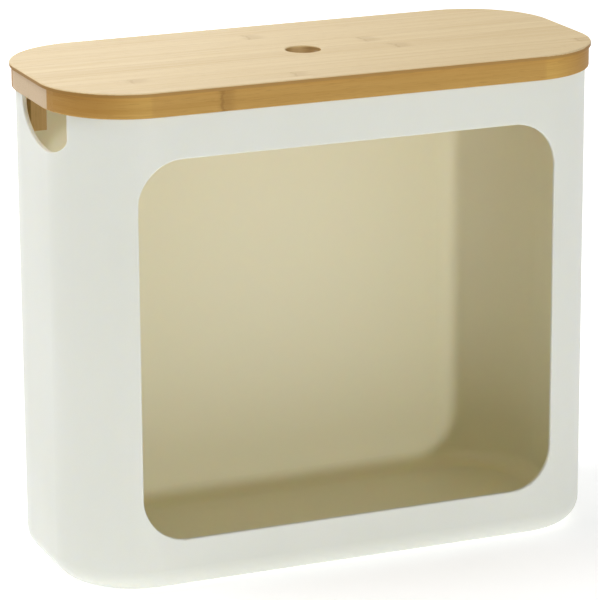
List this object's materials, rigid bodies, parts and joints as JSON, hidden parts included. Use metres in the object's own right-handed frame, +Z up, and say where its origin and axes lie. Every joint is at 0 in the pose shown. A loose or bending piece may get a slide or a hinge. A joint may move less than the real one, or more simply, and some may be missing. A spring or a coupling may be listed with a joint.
{
  "type": "toilet roll storage unit",
  "caption": "Moulded tub with rounded corners, a large front window and hand notches, closed by a lift-off laminated bamboo lid with a finger hole; stores toilet rolls.",
  "frame": {"origin": "on the floor under the middle of the unit", "axes": "+X along the length, +Y to the back, away from the window, +Z up"},
  "size_m": [0.36, 0.159, 0.313],
  "materials": {
    "tub_plastic": "satin off-white moulded plastic",
    "bamboo_face": "pale lacquered bamboo, flat pressed",
    "bamboo_core": "caramel lacquered bamboo edge",
    "bamboo_peg": "caramel bamboo, sawn"
  },
  "bodies": {
    "tub": {"body_shell": "tub_plastic"},
    "lid": {"lid_face_stave_1": "bamboo_face", "lid_face_stave_2": "bamboo_face", "lid_face_stave_3": "bamboo_face", "lid_face_stave_4": "bamboo_face", "lid_face_stave_5": "bamboo_face", "lid_face_stave_6": "bamboo_face", "lid_face_stave_7": "bamboo_face", "lid_face_stave_8": "bamboo_face", "lid_core_stave_1": "bamboo_core", "lid_core_stave_2": "bamboo_core", "lid_core_stave_3": "bamboo_core", "lid_core_stave_4": "bamboo_core", "lid_peg_front_left": "bamboo_peg", "lid_peg_back_left": "bamboo_peg", "lid_peg_front_right": "bamboo_peg", "lid_peg_back_right": "bamboo_peg"}
  },
  "joints": [
    {"name": "lid_lift", "type": "slide", "parent": "tub", "child": "lid", "axis": [0, 0, 1], "range_m": [0, 0.2]}
  ]
}
